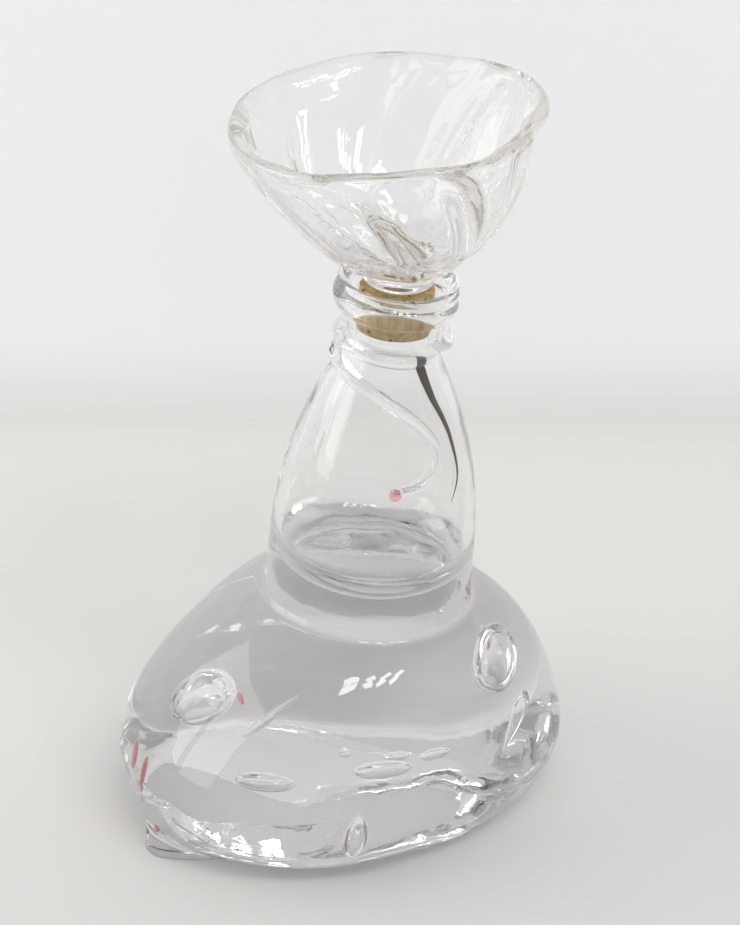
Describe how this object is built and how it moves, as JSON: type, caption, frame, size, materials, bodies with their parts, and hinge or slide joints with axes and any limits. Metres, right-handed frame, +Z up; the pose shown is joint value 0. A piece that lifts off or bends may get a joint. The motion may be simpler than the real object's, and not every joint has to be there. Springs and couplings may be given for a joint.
{
  "type": "glass decanter with cup stopper",
  "caption": "Leaning hand-blown clear glass decanter on a heavy bubbled foot, with a wrapped glass thread and a flared cup stopper on a cork.",
  "frame": {"origin": "on the resting plane, under the middle of the solid foot's widest line", "axes": "+Z up, +X towards the side that the neck leans to, -Y towards the front, where the thread trails down the bulb"},
  "size_m": [0.1537, 0.1283, 0.2554],
  "materials": {
    "foot_glass": "thick clear glass, fire polished, with trapped air bubbles",
    "clear_glass": "clear blown glass",
    "thread_glass": "clear glass thread laid on hot",
    "stopper_glass": "clear glass with faint swirled ribs",
    "pink_glass": "pink tinted glass",
    "cork": "oiled amber-brown cork"
  },
  "bodies": {
    "decanter": {"foot_mass": "foot_glass", "side_toe": "foot_glass", "bulb_flask": "clear_glass", "mouth_lip": "clear_glass", "neck_ring": "thread_glass", "front_trail": "thread_glass", "trail_bead": "pink_glass"},
    "cork": {"cork_sleeve": "cork"},
    "stopper": {"stopper_button": "stopper_glass", "stopper_cup": "stopper_glass"}
  },
  "joints": [
    {"name": "stopper_lift", "type": "slide", "parent": "decanter", "child": "cork", "axis": [0.0872, 0, 0.9962], "range_m": [0, 0.06]},
    {"name": "stopper_turn", "type": "hinge", "parent": "cork", "child": "stopper", "pos_m": [0.01902, 0, 0.19356], "axis": [0.0872, 0, 0.9962], "continuous": true}
  ]
}
